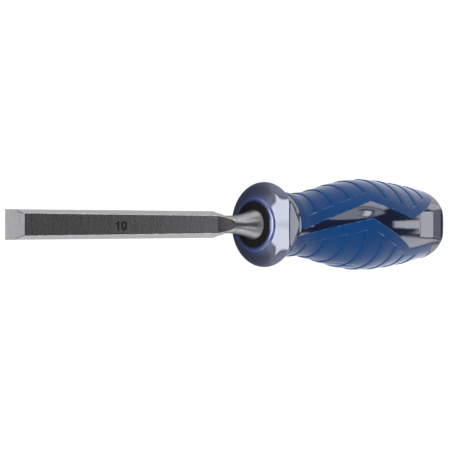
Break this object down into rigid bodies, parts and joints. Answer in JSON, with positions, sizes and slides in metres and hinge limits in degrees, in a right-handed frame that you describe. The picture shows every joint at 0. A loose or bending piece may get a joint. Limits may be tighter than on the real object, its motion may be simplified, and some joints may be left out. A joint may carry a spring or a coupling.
{
  "type": "wood chisel",
  "caption": "Narrow bevel-edge wood chisel: flat-backed steel blade with neck, bolster and tang, in a hard moulded handle with soft ribbed grip panels.",
  "frame": {"origin": "middle of the cutting edge, on the plane of the blade's flat back; the handle's axis is level, 1.7 mm above that plane", "axes": "+X along the tool from cutting edge to butt, +Z out of the blade's bevelled face, +Y across the width"},
  "size_m": [0.2165, 0.0379, 0.0376],
  "materials": {
    "blade_steel": "ground along the bar, satin on neck and bolster",
    "washer_plastic": "moulded, matt",
    "core_plastic": "hard, glossy, dark blue",
    "soft_grip": "soft, fine matt texture"
  },
  "bodies": {
    "root": {"blade": "blade_steel", "bolster_washer": "washer_plastic", "handle_core": "core_plastic", "grip_upper": "soft_grip", "grip_lower": "soft_grip"}
  },
  "joints": []
}
